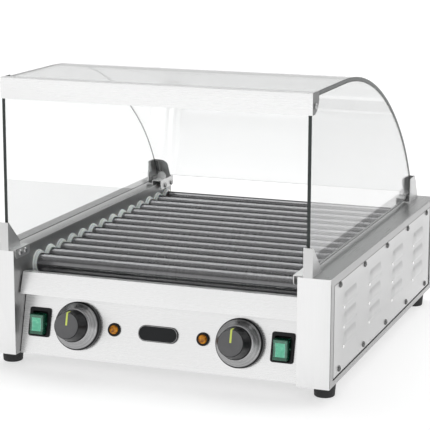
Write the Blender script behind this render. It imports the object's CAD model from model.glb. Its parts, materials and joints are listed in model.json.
import json
import math

import bmesh
import bpy
from mathutils import Matrix, Vector


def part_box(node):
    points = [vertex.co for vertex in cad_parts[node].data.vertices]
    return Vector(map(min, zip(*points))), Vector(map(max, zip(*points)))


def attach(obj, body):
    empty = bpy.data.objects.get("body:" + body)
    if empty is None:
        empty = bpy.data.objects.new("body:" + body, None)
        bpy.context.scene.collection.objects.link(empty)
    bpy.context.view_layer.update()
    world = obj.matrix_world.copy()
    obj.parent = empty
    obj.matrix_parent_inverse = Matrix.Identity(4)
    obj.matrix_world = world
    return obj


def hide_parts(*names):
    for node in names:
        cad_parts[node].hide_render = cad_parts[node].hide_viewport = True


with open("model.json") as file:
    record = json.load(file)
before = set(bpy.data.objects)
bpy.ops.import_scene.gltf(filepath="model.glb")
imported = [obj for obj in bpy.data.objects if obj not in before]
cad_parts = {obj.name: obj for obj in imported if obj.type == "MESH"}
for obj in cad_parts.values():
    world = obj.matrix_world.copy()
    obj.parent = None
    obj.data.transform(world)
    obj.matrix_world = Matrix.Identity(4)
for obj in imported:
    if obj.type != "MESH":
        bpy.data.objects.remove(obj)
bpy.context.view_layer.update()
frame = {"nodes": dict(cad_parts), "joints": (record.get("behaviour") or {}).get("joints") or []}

scene = bpy.context.scene
MM = 0.001
JOINT = {j["name"]: j for j in frame["joints"]}
SIDES = (("left", -1), ("right", 1))
CASE_LO = Vector(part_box("right_casing")[0])
FRONT, UNDER = CASE_LO.y, CASE_LO.z
KNOB_STAND = 20  # mm from the control panel's face to the point that the knob joints name


def at(x, y, z):
    """A place in mm: x from the middle, y from the pillar fronts, z from the cabinets' underside."""
    return Vector((x * MM, FRONT + y * MM, UNDER + z * MM))


def basis(origin, out, up):
    """Matrix from mm in a local frame to metres: local z runs along out, local y along up."""
    z = Vector(out).normalized()
    x = Vector(up).cross(z).normalized()
    m = Matrix((x, z.cross(x), z)).transposed().to_4x4()
    m.translation = origin
    return m @ Matrix.Scale(MM, 4)


knob_joint = JOINT["right_knob_turn"]
OUT = -Vector(knob_joint["axis"]).normalized()
PANEL_Y = OUT.cross(Vector((1, 0, 0)))
DIAL_X = knob_joint["pos_m"][0] / MM
PANEL = Vector((0, knob_joint["pos_m"][1], knob_joint["pos_m"][2])) - OUT * KNOB_STAND * MM
SWITCH_X = JOINT["right_rocker_tip"]["pos_m"][0] / MM


def on_panel(x):
    """Frame in mm on the control panel's face, x from its middle: local z points out of it, local y up it."""
    return basis(PANEL + Vector((x * MM, 0, 0)), OUT, PANEL_Y)


def place(name, data):
    """A new object in the scene."""
    ob = bpy.data.objects.new(name, data)
    scene.collection.objects.link(ob)
    return ob


def applied(ob):
    """The object's mesh with its modifiers applied."""
    return bpy.data.meshes.new_from_object(ob.evaluated_get(bpy.context.evaluated_depsgraph_get()))


# ---------------------------------------------------------------- materials

class Graph:
    """One material's node tree, with short ways to add to it."""

    def __init__(self, name, **sockets):
        self.mat = bpy.data.materials.new(name)
        self.mat.use_nodes = True
        self.nodes, self.links = self.mat.node_tree.nodes, self.mat.node_tree.links
        self.shader = self.nodes["Principled BSDF"]
        for key, value in sockets.items():
            self.shader.inputs[key.replace("_", " ")].default_value = value
        self.coords = self.node("ShaderNodeTexCoord").outputs["Object"]

    def node(self, kind, **settings):
        n = self.nodes.new(kind)
        for key, value in settings.items():
            setattr(n, key, value)
        return n

    def put(self, value, socket):
        if isinstance(value, bpy.types.NodeSocket):
            self.links.new(value, socket)
        else:
            socket.default_value = value

    def mapped(self, scale=(1, 1, 1), rotation=(0, 0, 0), location=(0, 0, 0), source=None):
        n = self.node("ShaderNodeMapping", vector_type="POINT")
        self.put(source or self.coords, n.inputs["Vector"])
        n.inputs["Scale"].default_value = scale
        n.inputs["Rotation"].default_value = rotation
        n.inputs["Location"].default_value = location
        return n.outputs["Vector"]

    def noise(self, scale, detail, vector=None):
        n = self.node("ShaderNodeTexNoise")
        self.put(vector or self.coords, n.inputs["Vector"])
        n.inputs["Scale"].default_value = scale
        n.inputs["Detail"].default_value = detail
        n.inputs["Roughness"].default_value = 0.55
        return n.outputs["Fac"]

    def ramp(self, value, lo, hi, out_lo=0.0, out_hi=1.0):
        n = self.node("ShaderNodeMapRange")
        ends = ("From Min", lo), ("From Max", hi), ("To Min", out_lo), ("To Max", out_hi)
        for key, v in (("Value", value), *ends):
            self.put(v, n.inputs[key])
        return n.outputs["Result"]

    def math(self, operation, a, b):
        n = self.node("ShaderNodeMath", operation=operation)
        self.put(a, n.inputs[0])
        self.put(b, n.inputs[1])
        return n.outputs[0]

    def mix(self, factor, a, b):
        """Blend of two colours, each an (r, g, b) or another node's output."""
        n = self.node("ShaderNodeMix", data_type="RGBA")
        self.put(factor, n.inputs["Factor"])
        for value, socket in ((a, n.inputs[6]), (b, n.inputs[7])):
            self.put((*value, 1.0) if isinstance(value, tuple) else value, socket)
        return n.outputs[2]

    def edges(self):
        """1 along convex edges, 0 elsewhere."""
        return self.ramp(self.node("ShaderNodeNewGeometry").outputs["Pointiness"], 0.52, 0.6)

    def bump(self, height, strength, distance):
        n = self.node("ShaderNodeBump")
        self.put(height, n.inputs["Height"])
        n.inputs["Strength"].default_value = strength
        n.inputs["Distance"].default_value = distance
        return n.outputs["Normal"]

    def finish(self, colour, rough, normal):
        for value, key in ((colour, "Base Color"), (rough, "Roughness"), (normal, "Normal")):
            self.put(value, self.shader.inputs[key])
        return self.mat


def grey(tone):
    return (tone,) * 3


HAIR_ALONG, HAIR_ACROSS = 14, 1700  # noise cells in a metre along the brushing and across it


def brushed(name, tone, rough, along, depth=0.06, smudge=0.3, aniso=0.35, contrast=0.06):
    """Brushed metal: hair lines that run along one axis, cloudy handling marks and brighter worn edges."""
    g = Graph(name, Metallic=1.0, Anisotropic=aniso)
    lines = g.noise(1.0, 4.0, g.mapped(tuple(HAIR_ALONG if k == along else HAIR_ACROSS for k in range(3))))
    cloud = g.noise(6.0, 4.0)
    colour = g.mix(g.ramp(lines, 0.35, 0.68), grey(tone * (1 - contrast)), grey(tone))
    colour = g.mix(g.math("MULTIPLY", g.ramp(cloud, 0.42, 0.75), contrast * 4), colour, grey(tone * 0.93))
    colour = g.mix(g.math("MULTIPLY", g.edges(), 0.5), colour, grey(min(1.0, tone * 1.12)))
    marks = g.math("MULTIPLY", g.ramp(cloud, 0.45, 0.75), smudge * 0.15)
    wide = g.math("ADD", g.ramp(lines, 0.3, 0.7, rough - 0.04, rough + 0.05), marks)
    tangent = g.node("ShaderNodeCombineXYZ")
    for k in range(3):
        tangent.inputs[k].default_value = 1.0 if k == along else 0.0
    g.put(tangent.outputs[0], g.shader.inputs["Tangent"])
    return g.finish(colour, wide, g.bump(lines, depth, 0.00006))


def plastic(name, tone, rough, grain=1600.0, depth=0.12, lift=1.6, **sockets):
    """Moulded plastic or rubber: a fine spark-eroded grain, a cloudy gloss and paler rubbed edges."""
    g = Graph(name, **sockets)
    fine = g.noise(grain, 2.0)
    cloud = g.noise(26.0, 4.0)
    colour = g.mix(g.ramp(cloud, 0.35, 0.7), tone, tuple(c * 1.25 + 0.002 for c in tone))
    rubbed = tuple(min(1.0, c * lift + 0.02) for c in tone)
    colour = g.mix(g.math("MULTIPLY", g.edges(), 0.45), colour, rubbed)
    wide = g.math("ADD", g.ramp(cloud, 0.3, 0.7, rough - 0.05, rough + 0.07), g.math("MULTIPLY", fine, 0.05))
    return g.finish(colour, wide, g.bump(fine, depth, 0.00008))


def roller_coating():
    """Dark satin coat on steel: fine orange peel, faint rings from turning and a little burnish."""
    g = Graph("roller_coat", Metallic=0.92, Specular_Tint=(0.12, 0.12, 0.125, 1.0))
    peel = g.noise(900.0, 3.0)
    rings = g.noise(1.0, 3.0, g.mapped((500, 2, 2)))
    patch = g.noise(1.0, 3.0, g.mapped((7, 12, 12)))
    colour = g.mix(g.ramp(rings, 0.3, 0.7), (0.185, 0.185, 0.19), (0.215, 0.215, 0.22))
    colour = g.mix(g.math("MULTIPLY", g.ramp(patch, 0.45, 0.8), 0.3), colour, (0.255, 0.253, 0.25))
    wide = g.math("ADD", g.ramp(rings, 0.3, 0.7, 0.17, 0.21), g.ramp(patch, 0.4, 0.8, 0.0, 0.04))
    return g.finish(colour, wide, g.bump(peel, 0.06, 0.00006))


def dial_metal(name, centre):
    """Spun aluminium skirt: hair lines in circles round the dial's own axis."""
    g = Graph(name, Metallic=1.0)
    lean = math.atan2(OUT.z, -OUT.y)
    moved = g.mapped(location=tuple(-c for c in centre))
    local = g.mapped(rotation=(-(math.pi / 2 - lean), 0, 0), source=moved)
    flat = g.node("ShaderNodeVectorMath", operation="MULTIPLY")
    g.put(local, flat.inputs[0])
    flat.inputs[1].default_value = (1, 1, 0)
    radius = g.node("ShaderNodeVectorMath", operation="LENGTH")
    g.put(flat.outputs[0], radius.inputs[0])
    line = g.node("ShaderNodeTexNoise", noise_dimensions="1D")
    g.put(radius.outputs["Value"], line.inputs["W"])
    line.inputs["Scale"].default_value = 1500.0
    line.inputs["Detail"].default_value = 3.0
    lines = line.outputs["Fac"]
    colour = g.mix(g.ramp(lines, 0.3, 0.7), (0.30, 0.30, 0.305), (0.55, 0.55, 0.555))
    cloud = g.noise(40.0, 3.0)
    wide = g.math("ADD", g.ramp(lines, 0.3, 0.7, 0.24, 0.36), g.ramp(cloud, 0.4, 0.8, 0.0, 0.08))
    return g.finish(colour, wide, g.bump(lines, 0.25, 0.0001))


def glass(name, tint):
    """Clear float glass; rays from lamps pass through it, so what it covers is lit."""
    g = Graph(name, Transmission_Weight=1.0, IOR=1.45, Roughness=0.0)
    g.put(g.mix(g.ramp(g.noise(5.0, 4.0), 0.35, 0.75), tint, tuple(c * 0.985 for c in tint)),
          g.shader.inputs["Base Color"])
    path = g.node("ShaderNodeLightPath")
    clear = g.node("ShaderNodeBsdfTransparent")
    clear.inputs["Color"].default_value = (0.88, 0.9, 0.89, 1.0)
    both = g.node("ShaderNodeMixShader")
    g.put(path.outputs["Is Shadow Ray"], both.inputs[0])
    g.put(g.shader.outputs[0], both.inputs[1])
    g.put(clear.outputs[0], both.inputs[2])
    g.put(both.outputs[0], g.nodes["Material Output"].inputs["Surface"])
    return g.mat


def ground_edge(name, tone):
    """Ground and polished edge of a glass sheet, which gathers the glass's dark tint."""
    g = Graph(name, Transmission_Weight=0.1, IOR=1.5, Specular_IOR_Level=0.2)
    grain = g.noise(1400.0, 2.0)
    colour = g.mix(g.ramp(grain, 0.3, 0.7), tone, tuple(c * 1.2 for c in tone))
    return g.finish(colour, g.ramp(grain, 0.3, 0.7, 0.2, 0.3), g.bump(grain, 0.05, 0.00005))


def lens(name, deep, bright, glow, coat=0.6):
    """Tinted lens lit faintly from behind, with moulded facets inside."""
    g = Graph(name, Coat_Weight=coat, Coat_Roughness=0.05, Emission_Strength=glow,
              Specular_IOR_Level=0.5 * coat + 0.2)
    cell = g.node("ShaderNodeTexVoronoi", feature="SMOOTH_F1")
    g.put(g.coords, cell.inputs["Vector"])
    cell.inputs["Scale"].default_value = 420.0
    streak = g.noise(260.0, 3.0)
    colour = g.mix(g.ramp(streak, 0.35, 0.7), deep, bright)
    g.put(colour, g.shader.inputs["Emission Color"])
    wide = g.ramp(streak, 0.3, 0.7, 0.16, 0.3)
    return g.finish(colour, wide, g.bump(cell.outputs["Distance"], 0.25, 0.0003))


M = {
    "steel_x": brushed("steel_brushed_x", 0.83, 0.27, 0),
    "steel_z": brushed("steel_brushed_z", 0.79, 0.30, 2),
    "steel_tray": brushed("steel_tray", 0.88, 0.26, 0, smudge=0.4),
    "steel_deck": brushed("steel_deck", 0.60, 0.30, 1),
    "steel_side": brushed("steel_side", 0.42, 0.34, 1),
    "steel_cover": brushed("steel_side_cover", 0.60, 0.36, 1),
    "steel_wall": brushed("steel_inner_wall", 0.36, 0.36, 1, smudge=0.6),
    "steel_web": brushed("steel_bracket_web", 0.62, 0.33, 2),
    "steel_plate": brushed("steel_back_plate", 0.85, 0.5, 2, smudge=0.6),
    "steel_flange": brushed("steel_lip_flange", 0.18, 0.36, 1),
    "steel_gusset": brushed("steel_bracket_gusset", 0.58, 0.36, 2),
    "steel_tab": brushed("steel_bracket_tab", 0.80, 0.42, 1),
    "galvanised": brushed("galvanised_sheet", 0.50, 0.42, 0, smudge=0.9, aniso=0.1, contrast=0.2),
    "screw": brushed("screw_steel", 0.50, 0.25, 0, aniso=0.0, contrast=0.2),
    "screw_dark": brushed("screw_black_zinc", 0.17, 0.22, 0, aniso=0.0, contrast=0.3),
    "relief": brushed("louvre_relief", 0.97, 0.22, 1, aniso=0.0, contrast=0.02),
    "seam": plastic("panel_seam", (0.05, 0.05, 0.05), 0.5, 900.0, 0.2, 1.4),
    "machined": brushed("machined_steel", 0.42, 0.32, 0, aniso=0.0, contrast=0.2),
    "chain": brushed("oiled_chain", 0.26, 0.34, 1, aniso=0.0, contrast=0.35),
    "heater": brushed("heater_sheath", 0.28, 0.42, 0, aniso=0.0, contrast=0.35),
    "plated": brushed("plated_steel", 0.62, 0.3, 0, aniso=0.0, contrast=0.2),
    "roller": roller_coating(),
    "ptfe": plastic("bush_plastic", (0.74, 0.735, 0.71), 0.36, 900.0, 0.06, 1.05,
                    Subsurface_Weight=0.15),
    "rubber": plastic("foot_rubber", (0.012, 0.012, 0.013), 0.62, 700.0, 0.3, 2.2),
    "gasket": plastic("silicone_rubber", (0.20, 0.20, 0.20), 0.5, 900.0, 0.2, 1.3),
    "black": plastic("black_plastic", (0.008, 0.008, 0.009), 0.36, 1300.0, 0.14, 2.0,
                     Specular_IOR_Level=0.25),
    "knob_side": plastic("knob_plastic", (0.006, 0.006, 0.007), 0.28, 1500.0, 0.10, 2.0,
                         Specular_IOR_Level=0.3),
    "knob_face": plastic("knob_face", (0.105, 0.105, 0.108), 0.45, 1900.0, 0.16, 1.4,
                         Specular_IOR_Level=0.3),
    "pointer": plastic("pointer_paint", (0.56, 0.64, 0.13), 0.45, 1400.0, 0.08, 1.1,
                       Specular_IOR_Level=0.3),
    "mark": plastic("dial_mark", (0.02, 0.02, 0.02), 0.5, 1400.0, 0.05, 1.2),
    "badge": plastic("badge_lacquer", (0.010, 0.011, 0.012), 0.30, 900.0, 0.05, 1.6,
                     Specular_IOR_Level=0.2),
    "badge_rim": plastic("badge_border", (0.42, 0.42, 0.42), 0.30, 900.0, 0.05, 1.2),
    "rocker_side": lens("rocker_side", (0.006, 0.075, 0.04), (0.01, 0.12, 0.065), 0.02),
    "rocker": lens("rocker_green", (0.045, 0.16, 0.105), (0.07, 0.21, 0.14), 0.02),
    "rocker_line": lens("rocker_outline", (0.20, 0.56, 0.42), (0.26, 0.64, 0.50), 0.07),
    "rocker_core": lens("rocker_centre", (0.08, 0.46, 0.28), (0.13, 0.56, 0.36), 0.07),
    "lamp": lens("lamp_amber", (0.17, 0.05, 0.001), (0.62, 0.25, 0.015), 0.22, 0.15),
    "glass": glass("hood_glass", (0.945, 0.952, 0.95)),
    "glass_grey": glass("hood_glass_grey", (0.81, 0.813, 0.813)),
    "glass_edge": ground_edge("hood_glass_edge", (0.04, 0.046, 0.045)),
    "motor": plastic("motor_paint", (0.03, 0.03, 0.033), 0.38, 500.0, 0.25, 2.0),
    "ceramic": plastic("terminal_ceramic", (0.70, 0.67, 0.60), 0.5, 800.0, 0.15, 1.1),
}
for side, sign in SIDES:
    M["dial_" + side] = dial_metal("dial_skirt_" + side, PANEL + Vector((sign * DIAL_X * MM, 0, 0)))


# ---------------------------------------------------------------- mesh building

FILLET_STEPS = 5


def profile(*points):
    """Outline whose points are (a, b) or (a, b, fillet radius)."""
    out = []
    for i, p in enumerate(points):
        radius = p[2] if len(p) > 2 and 0 < i < len(points) - 1 else 0
        here = Vector(p[:2])
        if not radius:
            out.append(tuple(here))
            continue
        back, on = Vector(points[i - 1][:2]) - here, Vector(points[i + 1][:2]) - here
        angle = back.angle(on)
        reach = min(radius / math.tan(angle / 2), back.length * 0.49, on.length * 0.49)
        back.normalize()
        on.normalize()
        centre = here + (back + on).normalized() * (reach / math.cos(angle / 2))
        first, last = here + back * reach - centre, here + on * reach - centre
        sweep = math.atan2(first.x * last.y - first.y * last.x, first.dot(last))
        for k in range(FILLET_STEPS + 1):
            c, s = math.cos(sweep * k / FILLET_STEPS), math.sin(sweep * k / FILLET_STEPS)
            out.append((centre.x + first.x * c - first.y * s, centre.y + first.x * s + first.y * c))
    return out


def ring_of(w, h, r, z, turns=6):
    """Round-cornered rectangle at the height z, anticlockwise."""
    r = min(r, w / 2 - 1e-4, h / 2 - 1e-4)
    points = []
    for k, (cx, cy) in enumerate(((1, 1), (-1, 1), (-1, -1), (1, -1))):
        for i in range(turns + 1):
            a = math.pi / 2 * (k + i / turns)
            points.append((cx * (w / 2 - r) + r * math.cos(a), cy * (h / 2 - r) + r * math.sin(a), z))
    return points


class Piece:
    """A mesh gathered from parts, then made into an object that rides on a body."""

    def __init__(self, *materials):
        self.materials, self.verts, self.faces, self.slots = materials, [], [], []

    def add(self, matrix, verts, faces, slot=0):
        base = len(self.verts)
        self.verts += [matrix @ Vector(v) for v in verts]
        self.faces += [[base + i for i in f] for f in faces]
        self.slots += slot if isinstance(slot, list) else [slot] * len(faces)

    def lathe(self, matrix, points, n, slot=0, closed=False):
        """Turns (radius, height) points about local z. slot is one number or one for each segment."""
        verts, rings = [], []
        for r, h in points:
            if r < 1e-6:
                rings.append([len(verts)] * n)
                verts.append((0, 0, h))
            else:
                rings.append(list(range(len(verts), len(verts) + n)))
                turns = [2 * math.pi * k / n for k in range(n)]
                verts += [(r * math.cos(a), r * math.sin(a), h) for a in turns]
        faces, slots = [], []
        pairs = list(zip(rings, rings[1:] + rings[:1]))[:None if closed else -1]
        for i, (a, b) in enumerate(pairs):
            for k in range(n):
                j = (k + 1) % n
                face = [a[k], a[j], b[j], b[k]]
                face = [v for m, v in enumerate(face) if v not in face[:m]]
                if len(face) > 2:
                    faces.append(face)
                    slots.append(slot[i] if isinstance(slot, list) else slot)
        self.add(matrix, verts, faces, slots)

    def box(self, a, b):
        """Block between two opposite corners in mm."""
        corners = [[(b if i >> k & 1 else a)[k] * MM for k in range(3)] for i in range(8)]
        self.add(Matrix.Identity(4), corners, [
            (0, 2, 3, 1), (4, 5, 7, 6), (0, 1, 5, 4), (2, 6, 7, 3), (0, 4, 6, 2), (1, 3, 7, 5)])

    def loft(self, matrix, loops, slot=0, caps=True):
        """Skins between closed loops of equal length. slot is one number or one for each band."""
        n = len(loops[0])
        verts = [v for loop in loops for v in loop]
        faces, slots = [], []
        for i in range(len(loops) - 1):
            for k in range(n):
                j = (k + 1) % n
                faces.append([i * n + k, i * n + j, (i + 1) * n + j, (i + 1) * n + k])
                slots.append(slot[i] if isinstance(slot, list) else slot)
        if caps:
            faces += [list(range(n))[::-1], [(len(loops) - 1) * n + k for k in range(n)]]
            slots += [slot[0], slot[-1]] if isinstance(slot, list) else [slot, slot]
        self.add(matrix, verts, faces, slots)

    def mesh(self, name):
        me = bpy.data.meshes.new(name)
        me.from_pydata([tuple(v) for v in self.verts], [], self.faces)
        for m in self.materials:
            me.materials.append(M[m])
        me.polygons.foreach_set("material_index", self.slots)
        return me

    def make(self, name, **finish):
        dress(self.mesh(name), name, **finish)


WELD, TOUCH = 2e-6, 1e-5  # metres
FACING = 0.7  # a face looks along an axis if its normal reaches this far along it
SOFT_EDGE = math.radians(35)  # the least fold that is bevelled


def dress(me, name, body="cabinet", replaces=(), slot=None, bevel=0.0, sharp=32.0):
    bm = bmesh.new()
    bm.from_mesh(me)
    bmesh.ops.remove_doubles(bm, verts=bm.verts, dist=WELD)
    bmesh.ops.recalc_face_normals(bm, faces=bm.faces)
    if bevel:
        edges = [e for e in bm.edges if len(e.link_faces) == 2 and e.calc_face_angle(0) > SOFT_EDGE]
        bmesh.ops.bevel(bm, geom=edges, offset=bevel * MM, offset_type="OFFSET", segments=2, profile=0.5,
                        affect="EDGES", clamp_overlap=True)
        bmesh.ops.connect_verts_concave(bm, faces=bm.faces)
    for f in bm.faces:
        f.smooth = True
    bm.to_mesh(me)
    bm.free()
    me.set_sharp_from_angle(angle=math.radians(sharp))
    ob = place(name, me)
    mod = ob.modifiers.new("weighted", "WEIGHTED_NORMAL")
    mod.keep_sharp = True
    mod.weight = 100
    done = applied(ob)
    ob.modifiers.clear()
    ob.data = done
    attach(ob, body)
    if replaces:
        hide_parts(*replaces)
    return ob


def from_cad(node, material, bevel=0.3, body="cabinet", side=None, top=None, fold=0.0):
    """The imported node's own shape with its flat faces cleaned and its edges softly broken. Faces that look
    sideways or up can have their own finish, and fold rounds the long outer corner of a casing."""
    me = frame["nodes"][node].data.copy()
    bm = bmesh.new()
    bm.from_mesh(me)
    bmesh.ops.remove_doubles(bm, verts=bm.verts, dist=WELD)
    bmesh.ops.dissolve_limit(bm, angle_limit=math.radians(0.5), verts=bm.verts, edges=bm.edges)
    if fold:
        wide, high = max(abs(v.co.x) for v in bm.verts), max(v.co.z for v in bm.verts)
        edges = [e for e in bm.edges
                 if all(abs(abs(v.co.x) - wide) < TOUCH and abs(v.co.z - high) < TOUCH for v in e.verts)]
        bmesh.ops.bevel(bm, geom=edges, offset=fold * MM, offset_type="OFFSET", segments=5, profile=0.5,
                        affect="EDGES")
    bm.to_mesh(me)
    bm.free()
    me.materials.clear()
    for name in (material, side or material, top or material):
        me.materials.append(M[name])
    me.polygons.foreach_set("material_index", [0] * len(me.polygons))
    ob = dress(me, node + "_finished", body=body, replaces=(node,), bevel=bevel)
    for p in ob.data.polygons:
        p.material_index = 1 if abs(p.normal.x) > FACING else 2 if abs(p.normal.z) > FACING else 0


def islands(node):
    """Low and high corner of each separate solid in a node."""
    bm = bmesh.new()
    bm.from_mesh(frame["nodes"][node].data)
    bmesh.ops.remove_doubles(bm, verts=bm.verts, dist=WELD)
    left, found = set(bm.verts), []
    while left:
        stack, group = [left.pop()], []
        while stack:
            v = stack.pop()
            group.append(v.co.copy())
            for e in v.link_edges:
                w = e.other_vert(v)
                if w in left:
                    left.remove(w)
                    stack.append(w)
        found.append(tuple(Vector([pick(c[k] for c in group) for k in range(3)]) for pick in (min, max)))
    bm.free()
    return sorted(found, key=lambda b: tuple(round(c, 4) for c in b[0]))


# ---------------------------------------------------------------- pieces with the CAD's own shape

CASING = dict(material="steel_z", bevel=0.4, side="steel_side", top="steel_deck", fold=1.6)
WALL = dict(material="steel_wall", bevel=0.2)
BRACKET = dict(material="steel_web", side="steel_gusset", top="steel_tab")
PLATE_BRACKET = dict(BRACKET, material="steel_plate")
FROM_CAD = {
    "left_casing": CASING, "right_casing": CASING,
    "rear_panel": dict(material="steel_x", bevel=0.4),
    "control_panel": dict(material="steel_x", bevel=0.35),
    "base_pan": dict(material="galvanised", bevel=0.2),
    "left_inner_wall": WALL, "right_inner_wall": WALL,
    "heater_rails": dict(material="galvanised", bevel=0.2),
    "cover_front_lip": dict(material="steel_x", side="steel_flange"),
    "front_left_bracket": BRACKET, "front_right_bracket": BRACKET,
    "rear_left_bracket": PLATE_BRACKET, "rear_right_bracket": PLATE_BRACKET,
    "glass_gaskets": dict(material="gasket", bevel=0.4),
    "gear_motor": dict(material="motor", bevel=1.2),
    "terminal_block": dict(material="ceramic", bevel=0.4),
    "cable_gland": dict(material="black", bevel=0.4),
    "left_thermostat": dict(material="plated"), "right_thermostat": dict(material="plated"),
    "drip_tray": dict(material="steel_tray", bevel=0.25, body="tray"),
    "motor_sprocket": dict(material="machined", bevel=0.15, body="motor_shaft"),
}
for node, finish in FROM_CAD.items():
    from_cad(node, **finish)
for node, material in (("heater_elements", "heater"), ("drive_chain", "chain"),
                       ("left_spindle", "machined"), ("right_spindle", "machined")):
    frame["nodes"][node].data.materials[0] = M[material]


# ---------------------------------------------------------------- louvred side covers

# All in mm. A louvre is pressed out of the sheet: straight along its middle, falling off over its reach
# towards both ends and the top, and open along its mouth below.
STRAIGHT, REACH, RISE, MOUTH = 20.6, 10.6, 2.9, 7.0
COLUMNS, ROWS = 4, 3
BODY_DEPTH, END_MARGIN = 542, 92
COLUMN_PITCH, ROW_PITCH, LOWEST_ROW = (BODY_DEPTH - 2 * END_MARGIN) / (COLUMNS - 1), 25.3, 47
COVER_RISE = 3.0  # from the sheet's face out to the cover's outermost place
COVER_GAUGE = 0.9
SEAM_END, SEAM_FOOT, SEAM_TOP = 5.6, 1.0, 1.3  # widths of the dark gap round the sheet
SEAM_SINK = 0.25  # from the sheet's face in to the seam
# The gap behind the pillar's corner: out from the casing's side, back from its front, and from above its
# underside to above the cover
CORNER_X, CORNER_Y, CORNER_Z = (-0.5, 0.02), (1.0, 2.9), (1.5, 5)


def steps(a, b, n):
    """n places from a on towards b, without b."""
    return [a + (b - a) * k / n for k in range(n)]


def cover_seams(side, sign, face, outer, sheet):
    """The dark gap between a cover's sheet and its opening, and the one behind the pillar's corner."""
    (y0, z0, y1, z1), (ya, za, yb, zb) = outer, sheet
    seam = Piece("seam")
    for low, high in (((y0, z0), (y1, za)), ((y0, zb), (y1, z1)), ((y0, za), (ya, zb)), ((yb, za), (y1, zb))):
        seam.box((sign * (face - COVER_GAUGE), *low), (sign * (face - SEAM_SINK), *high))
    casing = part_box(side + "_casing")
    wide, front = casing[1 if sign > 0 else 0][0] / MM, casing[0][1] / MM
    seam.box((wide + sign * CORNER_X[0], front + CORNER_Y[0], UNDER / MM + CORNER_Z[0]),
             (wide + sign * CORNER_X[1], front + CORNER_Y[1], z1 + CORNER_Z[1]))
    seam.make(side + "_cover_seams", slot="gasket_grey")


def cover_grid(y0, z0, y1, z1, columns, rows):
    """Grid lines of a cover's sheet, close together across its louvres."""
    ys, zs = [y0], [z0]
    for c in columns:
        near, far = c - STRAIGHT, c + STRAIGHT
        ys += steps(near - REACH - 1, near + 3, 12) + steps(near + 3, far - 3, 8)
        ys += steps(far - 3, far + REACH + 1, 12) + [far + REACH + 1]
    for c in rows:
        zs += [c - MOUTH - 3.0, c - MOUTH] + steps(c - MOUTH, c + REACH, 12)[1:] + [c + REACH]
    return ys + [y1], zs + [z1]


def louvre_height(y, z, columns, rows):
    """How far the louvred sheet stands out here."""
    for cy in columns:
        for cz in rows:
            t = math.hypot(max(0.0, abs(y - cy) - STRAIGHT), z - cz) / REACH
            if t < 1 and z - cz > -MOUTH - 1e-6:
                return RISE * (1 - t * t) ** 1.25
    return 0.0


def cover_sheet(side, sign, face, sheet, columns, rows):
    ys, zs = cover_grid(*sheet, columns, rows)
    mouths = {round(c - MOUTH, 4) for c in rows}
    verts, index, faces = [], {}, []

    def vert(y, z, above):
        """Number of the vertex here. Along a mouth the sheet is raised above it and flat below it."""
        h = louvre_height(y, z, columns, rows) if above or round(z, 4) not in mouths else 0.0
        key = (round(y, 4), round(z, 4), round(h, 4))
        if key not in index:
            index[key] = len(verts)
            verts.append((sign * (face + h), y, z))
        return index[key]

    for ya, yb in zip(ys, ys[1:]):
        for za, zb in zip(zs, zs[1:]):
            quad = [vert(ya, za, True), vert(yb, za, True), vert(yb, zb, False), vert(ya, zb, False)]
            faces.append(quad if sign > 0 else quad[::-1])
    piece = Piece("steel_cover")
    piece.add(Matrix.Scale(MM, 4), verts, faces)
    me = piece.mesh(side + "_cover_sheet")
    for f in me.polygons:
        f.use_smooth = True
    ob = place(side + "_cover_sheet", me)
    solid = ob.modifiers.new("thickness", "SOLIDIFY")
    solid.thickness = COVER_GAUGE * MM
    solid.offset = -1.0
    done = applied(ob)
    bpy.data.objects.remove(ob)
    dress(done, side + "_cover_louvred", replaces=(side + "_side_cover",), sharp=40.0)


def louvre_reliefs(side, sign, face, columns, rows):
    """The small polished dome at the front end of each louvre's mouth."""
    relief = Piece("relief")
    dome = profile((2.3, -0.6), (2.3, 0.3, 0.2), (1.5, 0.95, 0.5), (0, 1.15))
    for cy in columns:
        for cz in rows:
            spot = (sign * face * MM, (cy - STRAIGHT - REACH + 3.5) * MM, (cz - MOUTH - 2.2) * MM)
            relief.lathe(basis(spot, (sign, 0, 0), (0, 0, 1)), dome, 32)
    relief.make(side + "_louvre_reliefs", slot="stainless")


for side, sign in SIDES:
    lo, hi = (Vector(c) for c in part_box(side + "_side_cover"))
    y0, y1, z0, z1 = lo.y / MM, hi.y / MM, lo.z / MM, hi.z / MM
    face = (hi.x if sign > 0 else -lo.x) / MM - COVER_RISE
    columns = [(y0 + y1) / 2 + (k - (COLUMNS - 1) / 2) * COLUMN_PITCH for k in range(COLUMNS)]
    rows = [UNDER / MM + LOWEST_ROW + ROW_PITCH * k for k in range(ROWS)]
    sheet = (y0 + SEAM_END, z0 + SEAM_FOOT, y1 - SEAM_END, z1 - SEAM_TOP)
    cover_seams(side, sign, face, (y0, z0, y1, z1), sheet)
    cover_sheet(side, sign, face, sheet, columns, rows)
    louvre_reliefs(side, sign, face, columns, rows)


# ---------------------------------------------------------------- screws and bolts

HEAD_RISE = 2.5  # mm
LONG_SHANK = 7.5  # mm; a bracket's bolt that is longer than this has a sleeve round it


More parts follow.
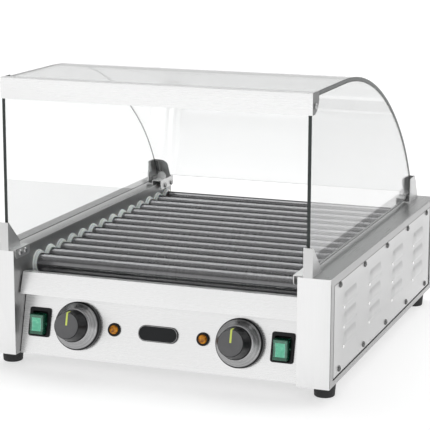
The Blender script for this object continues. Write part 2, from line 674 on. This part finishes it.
def screw_template():
    """Vertices and faces of a pan head with a cross recess, standing on z = 0."""
    head, cross = Piece("screw"), Piece("screw")
    head.lathe(Matrix.Identity(4), profile(
        (0, -1.2), (2.0, -1.2), (2.0, 0), (3.9, 0), (3.9, 0.9, 0.5), (3.3, 2.0, 0.9), (1.6, HEAD_RISE, 0.8),
        (0, HEAD_RISE)), 48)
    for half_x, half_y in ((2.1, 0.45), (0.45, 2.1)):
        cross.loft(Matrix.Identity(4), [
            [(x * half_x * k, y * half_y * k, z) for x, y in ((-1, -1), (1, -1), (1, 1), (-1, 1))]
            for z, k in ((0.9, 0.55), (2.2, 0.9), (3.2, 1.1))])
    made = []
    for piece in (head, cross):
        me = piece.mesh("screw_tool")
        bm = bmesh.new()
        bm.from_mesh(me)
        bmesh.ops.recalc_face_normals(bm, faces=bm.faces)
        bm.to_mesh(me)
        bm.free()
        made.append(place("screw_tool", me))
    cut = made[0].modifiers.new("cut", "BOOLEAN")
    cut.operation, cut.object, cut.solver = "DIFFERENCE", made[1], "EXACT"
    cut.use_self = True
    done = applied(made[0])
    for ob in made:
        bpy.data.objects.remove(ob)
    return [tuple(v.co) for v in done.vertices], [list(p.vertices) for p in done.polygons]


SCREW = screw_template()


def screws(node, faces_out, material="screw"):
    """Crossed pan heads in place of a node's plain ones, pointing out of the cabinet or into its middle."""
    piece = Piece(material)
    for k, (lo, hi) in enumerate(islands(node)):
        centre = (lo + hi) / 2
        out = 1 if (centre.x > 0) == faces_out else -1
        base = (hi.x if out > 0 else lo.x) - out * HEAD_RISE * MM
        local = basis((base, centre.y, centre.z), (out, 0, 0), (0, 0, 1))
        turn = 0.37 + 1.9 * k
        piece.add(local @ Matrix.Rotation(turn, 4, "Z"), *SCREW)
        tip = -((hi.x - lo.x) / MM - HEAD_RISE)
        piece.lathe(local, profile((0, tip), (1.6, tip), (2.0, tip + 0.6), (2.0, -1.2), (0, -1.2)), 32)
        if not faces_out and tip < -LONG_SHANK:
            end = tip + 5.8
            piece.lathe(local, profile((2.05, end), (3.5, end, 0.2), (3.5, -1.2, 0.2), (2.05, -1.2)), 40)
    piece.make(node + "_heads", replaces=(node,), sharp=38.0)


screws("side_cover_screws", True, "screw_dark")
screws("lip_screws", True)
screws("bracket_bolts", False)


# ---------------------------------------------------------------- feet, bushes, rollers

feet = Piece("rubber")
for lo, hi in islands("feet"):
    local = basis(((lo.x + hi.x) / 2, (lo.y + hi.y) / 2, 0), (0, 0, 1), (0, 1, 0))
    feet.lathe(local, profile(
        (0, 4.5), (5.6, 4.5, 0.5), (6.2, 0, 0.5), (11.9, 0, 0.5), (12.9, 1.0, 0.8), (13.4, 7.6, 0.3),
        (13.1, 8.0, 0.2), (13.5, 8.6, 0.3), (14.25, 16.0, 0.5), (14.25, 19.9, 0.4), (0, 19.95)), 80)
feet.make("rubber_feet", replaces=("feet",), sharp=50.0)

for side, sign in SIDES:
    bushes = Piece("ptfe")
    for lo, hi in islands(side + "_bushes"):
        wall = (lo.x if sign < 0 else hi.x) - sign * 4.0 * MM
        local = basis((wall, (lo.y + hi.y) / 2, (lo.z + hi.z) / 2), (-sign, 0, 0), (0, 0, 1))
        bushes.lathe(local, profile(
            (12.56, -3.9), (12.56, 0), (12.56, 4.5, 0.2), (14.4, 4.5, 0.5), (15.65, 4.3, 0.6),
            (15.65, 2.9, 0.5), (14.1, 2.7, 0.3), (14.1, 2.0, 0.3), (16.8, 2.0, 0.7), (17.0, 1.0, 0.4),
            (17.0, 0.0, 0.2), (14.4, 0.0), (14.4, -3.9)), 72, closed=True)
    bushes.make(side + "_bush_rings", replaces=(side + "_bushes",), sharp=45.0)

ROLLERS = 14
TUBE_R, BORE_R = 12.5, 11.3
TEETH, CHAIN_PITCH, SEAT_R, SPROCKET_T, SPROCKET_X = 15, 6.35, 1.75, 2.6, 201.0


def sprocket():
    """Outline loops of a chain sprocket from face to face: round seats between teeth with straight flanks."""
    pitch_r = CHAIN_PITCH / (2 * math.sin(math.pi / TEETH))
    outline = []
    for k in range(TEETH):
        for i in range(12):
            off = (i / 12 - 0.5) * 2 * math.pi / TEETH
            aside = pitch_r * math.sin(abs(off))
            if aside < SEAT_R * 0.98:
                r = pitch_r * math.cos(off) - math.sqrt(SEAT_R ** 2 - aside ** 2)
            else:
                r = min(pitch_r + 1.5, pitch_r + (aside - SEAT_R) * 2.1)
            outline.append((r, 2 * math.pi * (k + i / 12) / TEETH))
    half = SPROCKET_T / 2
    return [[(r * k * math.cos(a), r * k * math.sin(a), z) for r, a in outline]
            for z, k in ((-half, 0.985), (-half + 0.4, 1.0), (half - 0.4, 1.0), (half, 0.985))]


def on_tube(loop):
    """The loop's points brought in to just under the tube's surface."""
    r = TUBE_R - 0.05
    return [(r * math.cos(math.atan2(y, x)), r * math.sin(math.atan2(y, x)), z) for x, y, z in loop]


loops = sprocket()
teeth = [on_tube(loops[0]), *loops, on_tube(loops[-1])]
for i in range(ROLLERS):
    node = "roller_%02d" % (i + 1)
    lo, hi = (Vector(c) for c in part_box(node))
    pos = JOINT[node + "_spin"]["pos_m"]
    local = basis((0, pos[1], pos[2]), (1, 0, 0), (0, 0, 1))
    x0, x1 = lo.x / MM, hi.x / MM
    roller = Piece("roller", "machined")
    stations = [(TUBE_R, x0 + (x1 - x0) * k / 12) for k in range(1, 12)]
    tube = profile((BORE_R, x0), (TUBE_R, x0, 0.25), *stations, (TUBE_R, x1, 0.25), (BORE_R, x1))
    roller.lathe(local, tube, 96, closed=True)
    turned = local @ Matrix.Translation((0, 0, SPROCKET_X)) @ Matrix.Rotation(0.4 * i, 4, "Z")
    roller.loft(turned, teeth, slot=1, caps=False)
    roller.make(node + "_tube", body=node, replaces=(node,), sharp=40.0)


# ---------------------------------------------------------------- control panel fittings

def dial(side, local):
    """Black rim, spun metal skirt and the off mark near the skirt's top."""
    piece = Piece("black", "dial_" + side, "mark")
    rim = profile((6.2, 0.05), (30.8, 0.05), (31.2, 0.5, 0.4), (31.2, 6.6, 0.9), (30.0, 8.3, 0.5),
                  (29.55, 8.5))
    skirt = profile((29.55, 8.5), (29.3, 9.6, 0.5), (28.4, 10.2, 0.5), (22.3, 17.6, 0.8), (20.6, 18.45, 0.6),
                    (6.2, 18.5), (6.2, 0.05))
    piece.lathe(local, rim + skirt[1:], 128, [0] * (len(rim) - 1) + [1] * (len(skirt) - 1))
    slope = math.atan2(17.6 - 10.2, 28.4 - 22.3)
    leant = local @ Matrix.Translation((0, 25.6, 13.6)) @ Matrix.Rotation(-slope, 4, "X")
    piece.loft(leant, [ring_of(1.1, 2.6, 0.5, z) for z in (-0.1, 0.06)], slot=2)
    piece.make(side + "_dial", replaces=(side + "_dial_bezel",), sharp=38.0)


def knob(side, local):
    """Turned body with a sunk face, and a pointer that runs over the face's edge and down the flank."""
    piece = Piece("knob_side", "knob_face", "pointer")
    body = profile((3.1, 34.0), (3.1, 19.55), (20.6, 19.55), (21.0, 20.0, 0.4), (21.0, 21.3, 0.5),
                   (20.1, 21.9, 0.4), (17.05, 39.0, 0.7), (16.1, 40.15, 0.4))
    face = profile((16.1, 40.15), (15.7, 40.15, 0.2), (15.4, 39.95, 0.2), (8.0, 39.95), (0, 39.95))
    piece.lathe(local, body + face[1:], 128, [0] * (len(body) - 1) + [1] * (len(face) - 1))
    piece.lathe(local, [(3.1, 34.0), (0, 34.0)], 128)
    path = [((0.6, 39.9), (0, 1)), ((8.0, 39.9), (0, 1)), ((15.2, 39.9), (0, 1)),
            ((15.9, 39.95), (0.35, 0.94)), ((16.6, 39.25), (0.75, 0.66)), ((17.0, 38.2), (0.98, 0.2)),
            ((18.0, 32.4), (0.99, 0.16))]
    section = ((-1.2, -0.25), (1.2, -0.25), (1.2, 0.3), (0.95, 0.5), (-0.95, 0.5), (-1.2, 0.3))
    pointer = [[(x, y + ny * h, z + nz * h) for x, h in section] for (y, z), (ny, nz) in path]
    piece.loft(local, pointer, slot=2)
    piece.make(side + "_knob_turned", body=side + "_control", replaces=(side + "_knob",), sharp=38.0)


def switch_frame(side, local):
    """Housing through the panel, flange, the well that the rocker sits in, and four terminal blades."""
    piece = Piece("black")
    well = ((22.4, 31.4, 2.0, 2.7), (21.4, 30.6, 1.7, 2.3), (20.6, 29.8, 1.6, 1.4), (20.05, 29.25, 1.6, 0.4),
            (20.05, 29.25, 1.6, -9.9))
    piece.loft(local, [
        ring_of(25.0, 32.4, 0.8, -26), ring_of(25.0, 32.4, 0.8, 0.05), ring_of(30.0, 38.0, 3.4, 0.05),
        ring_of(30.0, 38.0, 3.4, 1.3), ring_of(29.7, 37.7, 3.25, 2.1), ring_of(29.0, 37.0, 3.0, 2.6),
        ring_of(28.2, 36.2, 2.7, 2.8), *[[(x, y - 1.4, z) for x, y, z in ring_of(*r)] for r in well]])
    for x in (-7, 7):
        for y in (-8, 8):
            blade = [[(x + a, y + b, c) for a, b, c in ring_of(0.8, 6.0, 0.3, z)] for z in (-34, -25.9)]
            piece.loft(local, blade)
    piece.make(side + "_switch_frame", replaces=(side + "_switch_housing",), sharp=40.0)


HALF_W, HALF_H = 9.4, 12.8  # mm, of the rocker's cap
LINE_X, LINE_Y = 3.0, 3.8  # mm, from the cap's sides and ends in to the moulded outline
CELLS_X, CELLS_Y = 36, 44
WHOLE, OUTLINE, CORE, FLANK = range(4)


def inside_line(x, y):
    """Distance in from the moulded outline, in mm; below 0 outside it."""
    return min(HALF_W - abs(x) - LINE_X, HALF_H - abs(y) - LINE_Y)


def rocker_height(x, y):
    """The cap's top: dished between its raised ends, soft at its edges, with a groove along the outline."""
    dish = 9.85 + 2.1 * (abs(y) / HALF_H) ** 1.35
    soft = 0.9 * (1 - min(1.0, min(HALF_W - abs(x), HALF_H - abs(y)) / 1.2)) ** 2
    groove = 0.2 * math.exp(-((inside_line(x, y) - 0.2) / 0.4) ** 2)
    return dish - soft - groove


def rocker_slot(x, y):
    edge = inside_line(x, y)
    return CORE if edge > 0.5 else OUTLINE if edge > 0 else FLANK if y < LINE_Y - HALF_H else WHOLE


def rocker_cap(side):
    pivot = Vector(JOINT[side + "_rocker_tip"]["pos_m"])
    piece = Piece("rocker", "rocker_line", "rocker_core", "rocker_side")
    wide = CELLS_X + 1
    xs = [-HALF_W + 2 * HALF_W * k / CELLS_X for k in range(wide)]
    ys = [-HALF_H + 2 * HALF_H * k / CELLS_Y for k in range(CELLS_Y + 1)]
    verts, faces, slots = [(x, y, rocker_height(x, y)) for y in ys for x in xs], [], []
    for j in range(CELLS_Y):
        for i in range(CELLS_X):
            a = j * wide + i
            faces.append([a, a + 1, a + wide + 1, a + wide])
            slots.append(rocker_slot((xs[i] + xs[i + 1]) / 2, (ys[j] + ys[j + 1]) / 2))
    border = (list(range(wide)) + [(j + 1) * wide + CELLS_X for j in range(CELLS_Y)]
              + [CELLS_Y * wide + i for i in range(CELLS_X - 1, -1, -1)]
              + [j * wide for j in range(CELLS_Y - 1, 0, -1)])
    n, low = len(border), len(verts)
    verts += [(*verts[k][:2], z) for z in (3.0, -2.5) for k in border]
    for k in range(n):
        j = (k + 1) % n
        faces += [[border[j], border[k], low + k, low + j], [low + j, low + k, low + n + k, low + n + j]]
    faces.append([low + n + k for k in range(n)])
    slots += [FLANK] * (2 * n + 1)
    tipped = basis(pivot, OUT, PANEL_Y) @ Matrix.Rotation(math.radians(10), 4, "X")
    piece.add(tipped, verts, faces, slots)
    for x in (-1, 1):
        pin = basis(pivot + Vector((x * 9.3 * MM, 0, 0)), (x, 0, 0), (0, 0, 1))
        piece.lathe(pin, profile((0, 0), (1.5, 0), (1.5, 2.05, 0.2), (0, 2.05)), 32, slot=FLANK)
    piece.make(side + "_rocker_cap", body=side + "_switch", replaces=(side + "_rocker",), sharp=45.0)


for side, sign in SIDES:
    dial(side, on_panel(sign * DIAL_X))
    knob(side, on_panel(sign * DIAL_X))
    switch_frame(side, on_panel(sign * SWITCH_X))
    rocker_cap(side)

lamps = Piece("black", "lamp")
for lo, hi in islands("pilot_lamps"):
    local = on_panel((lo.x + hi.x) / 2 / MM)
    holder = profile((0, -21.9), (4.9, -21.9, 0.3), (4.9, 0.05), (8.3, 0.05), (8.6, 0.4, 0.2),
                     (8.6, 2.0, 0.5), (7.7, 3.1, 0.6), (6.3, 3.15, 0.3), (5.85, 2.6, 0.2),
                     (5.8, 2.0), (0, 2.0))
    lens_cap = profile((5.75, 2.1), (5.7, 3.2, 0.3), (5.0, 4.7, 1.6), (2.9, 5.9, 2.4), (0, 6.15))
    lamps.lathe(local, holder, 72)
    lamps.lathe(local, lens_cap, 72, slot=1)
lamps.make("pilot_lamp_set", replaces=("pilot_lamps",), sharp=45.0)

badge = Piece("badge", "badge_rim")
badge.loft(on_panel(0), [ring_of(*size, turns=14) for size in (
    (54.0, 20.6, 9.9, 0.05), (54.0, 20.6, 9.9, 1.9), (53.4, 20.0, 9.7, 2.5), (52.6, 19.2, 9.4, 2.75),
    (51.6, 18.2, 9.0, 2.75), (51.2, 17.8, 8.8, 2.5))], slot=[0, 0, 0, 1, 0])
badge.make("plain_badge", replaces=("badge_plate",), sharp=35.0)


# ---------------------------------------------------------------- hood glass

HOOD_LO, HOOD_HI = (Vector(c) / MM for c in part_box("curved_cover"))
SIDE_LO, SIDE_HI = (Vector(c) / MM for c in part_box("right_glass_panel"))
FLAT, CROWN_R, REAR_R, CROWN_SWEEP, SHEET = 141.5, 450.0, 280.0, math.radians(42), 5.0
CROWN = Vector((HOOD_LO.y + FLAT, HOOD_HI.z - CROWN_R))
REAR = CROWN + (CROWN_R - REAR_R) * Vector((math.sin(CROWN_SWEEP), math.cos(CROWN_SWEEP)))
ARC_STEPS = 44
COVER_CHAMFER, PANE_CHAMFER, FOOT_EDGE = 0.5, 0.4, 0.35


def hood_line(inset, foot):
    """Outline (y, z) from the hood's front edge over the crown and down its back to the height foot."""
    last = math.acos((foot - REAR.y) / (REAR_R - inset))
    line = [(HOOD_LO.y, HOOD_HI.z - inset)]
    line += [(HOOD_LO.y + (CROWN.x - HOOD_LO.y) * k / 6, HOOD_HI.z - inset) for k in range(1, 6)]
    line += [(CROWN.x + (CROWN_R - inset) * math.sin(a), CROWN.y + (CROWN_R - inset) * math.cos(a))
             for a in (CROWN_SWEEP * k / ARC_STEPS for k in range(ARC_STEPS))]
    line += [(REAR.x + (REAR_R - inset) * math.sin(a), REAR.y + (REAR_R - inset) * math.cos(a))
             for a in (CROWN_SWEEP + (last - CROWN_SWEEP) * k / ARC_STEPS for k in range(ARC_STEPS + 1))]
    return line


def shrunk(outline, by):
    """A convex outline moved in by this distance."""
    middle = Vector((sum(p[0] for p in outline) / len(outline), sum(p[1] for p in outline) / len(outline)))
    out = []
    for k, p in enumerate(outline):
        back, on, here = Vector(outline[k - 1]), Vector(outline[(k + 1) % len(outline)]), Vector(p)
        u, w = (here - back).normalized(), (on - here).normalized()
        n = Vector((-u.y, u.x)) + Vector((-w.y, w.x))
        n = n / (1 + u.dot(w))
        out.append(here - n * by if (middle - here).dot(-n) > 0 else here + n * by)
    return out


def curved_glass():
    """Bent sheet with chamfered side edges and a dark edge along its foot."""
    piece = Piece("glass", "glass_edge")
    half, c = HOOD_HI.x, COVER_CHAMFER
    section = ((half - c, 0), (half, c), (half, SHEET - c), (half - c, SHEET),
               (-half + c, SHEET), (-half, SHEET - c), (-half, c), (-half + c, 0))
    outer, inner = (hood_line(inset, HOOD_LO.z + FOOT_EDGE) + hood_line(inset, HOOD_LO.z)[-1:]
                    for inset in (0.0, SHEET))
    loops = []
    for (oy, oz), (iy, iz) in zip(outer, inner):
        d = Vector((oy - iy, oz - iz)).normalized()
        loops.append([(x, oy - d.x * depth, oz - d.y * depth) for x, depth in section])
    piece.loft(Matrix.Scale(MM, 4), loops)
    # the fourth and eighth face of each band are the sheet's two sides; the last band and both caps are edge
    bands, n = len(loops) - 2, len(section)
    piece.slots = [0 if k % n in (3, 7) else 1 for k in range(bands * n)] + [1] * (n + 2)
    piece.make("hood_curved_glass", replaces=("curved_cover",), sharp=30.0)


def side_glass(side, sign, glass_name):
    piece = Piece(glass_name, "glass_edge")
    full = [(SIDE_LO.y, SIDE_LO.z)] + hood_line(SHEET + 0.1, SIDE_LO.z)
    cut = shrunk(full, PANE_CHAMFER)
    x0, x1 = SIDE_LO.x, SIDE_HI.x
    piece.loft(Matrix.Scale(MM, 4), [[(sign * x, y, z) for y, z in shape] for x, shape in (
        (x0, cut), (x0 + PANE_CHAMFER, full), (x1 - PANE_CHAMFER, full), (x1, cut))])
    piece.slots = [1] * (len(piece.faces) - 2) + [0, 0]
    piece.make(side + "_side_glass", replaces=(side + "_glass_panel",), sharp=30.0)


curved_glass()
side_glass("left", -1, "glass")
side_glass("right", 1, "glass_grey")


# ---------------------------------------------------------------- floor, light and camera

def paper_floor(half=30):
    me = bpy.data.meshes.new("floor")
    corners = [(-half, -half, 0), (half, -half, 0), (half, half, 0), (-half, half, 0)]
    me.from_pydata(corners, [], [(0, 1, 2, 3)])
    g = Graph("floor_paper", Emission_Color=(1, 1, 1, 1), Emission_Strength=0.55)
    fibre = g.noise(900.0, 3.0)
    me.materials.append(g.finish(g.mix(fibre, grey(0.5), grey(0.52)), 0.9, g.bump(fibre, 0.02, 0.0001)))
    return place("floor", me)


floor = paper_floor()

# Tones of the studio, by the angle from the horizon behind the grill (0) over the top to the one in front (1)
STUDIO = ((0.0, 0.95), (0.10, 0.92), (0.14, 0.10), (0.22, 0.08), (0.27, 2.4), (0.45, 2.4), (0.52, 0.85),
          (0.69, 0.75), (0.73, 0.36), (0.795, 0.36), (0.84, 1.3), (1.0, 1.3))
STUDIO_POWER = 1.87


def studio_world():
    world = bpy.data.worlds.new("studio")
    world.use_nodes = True
    nodes, links = world.node_tree.nodes, world.node_tree.links
    where = nodes.new("ShaderNodeTexCoord")
    split = nodes.new("ShaderNodeSeparateXYZ")
    swing, share = nodes.new("ShaderNodeMath"), nodes.new("ShaderNodeMath")
    swing.operation, share.operation = "ARCTAN2", "DIVIDE"
    share.inputs[1].default_value = math.pi
    ramp = nodes.new("ShaderNodeValToRGB")
    stops = ramp.color_ramp.elements
    while len(stops) < len(STUDIO):
        stops.new(0.5)
    brightest = max(tone for _, tone in STUDIO)
    for stop, (position, tone) in zip(stops, STUDIO):
        stop.position = position
        stop.color = (*grey(tone / brightest), 1)
    sky = nodes["Background"].inputs
    for source, socket in (
            (where.outputs["Generated"], split.inputs[0]), (split.outputs["Z"], swing.inputs[0]),
            (split.outputs["Y"], swing.inputs[1]), (swing.outputs[0], share.inputs[0]),
            (share.outputs[0], ramp.inputs["Fac"]), (ramp.outputs["Color"], sky["Color"])):
        links.new(source, socket)
    sky["Strength"].default_value = STUDIO_POWER
    return world


def softbox(name, spot, aim, size, power):
    light = bpy.data.lights.new(name, "AREA")
    light.shape, light.size, light.size_y, light.energy = "RECTANGLE", size[0], size[1], power
    ob = place(name, light)
    ob.location = spot
    ob.rotation_euler = (Vector(aim) - Vector(spot)).to_track_quat("-Z", "Y").to_euler()


def aimed_camera(spot, yaw, pitch, roll, lens):
    """Camera at spot, turned by yaw from straight back, down by pitch and over by roll, all in degrees."""
    yaw, pitch, roll = (math.radians(a) for a in (yaw, pitch, roll))
    forward = Vector((math.sin(yaw) * math.cos(pitch), math.cos(yaw) * math.cos(pitch), -math.sin(pitch)))
    right = Vector((math.cos(yaw), -math.sin(yaw), 0))
    up = right.cross(forward)
    right, up = math.cos(roll) * right + math.sin(roll) * up, math.cos(roll) * up - math.sin(roll) * right
    camera = place("camera", bpy.data.cameras.new("camera"))
    camera.matrix_world = Matrix((right, up, -forward)).transposed().to_4x4()
    camera.location = spot
    camera.data.sensor_width = 36.0
    camera.data.lens = lens
    camera.data.clip_end = 200.0
    return camera


scene.world = studio_world()
softbox("softbox_back", (-0.7, 1.1, 2.4), (0, 0.1, 0.2), (2.4, 1.0), 9)
scene.camera = aimed_camera(at(770.4, -1854.8, 625.7), -20.297, 11.986, 0.142, 139.56)
scene.view_settings.view_transform = "Standard"
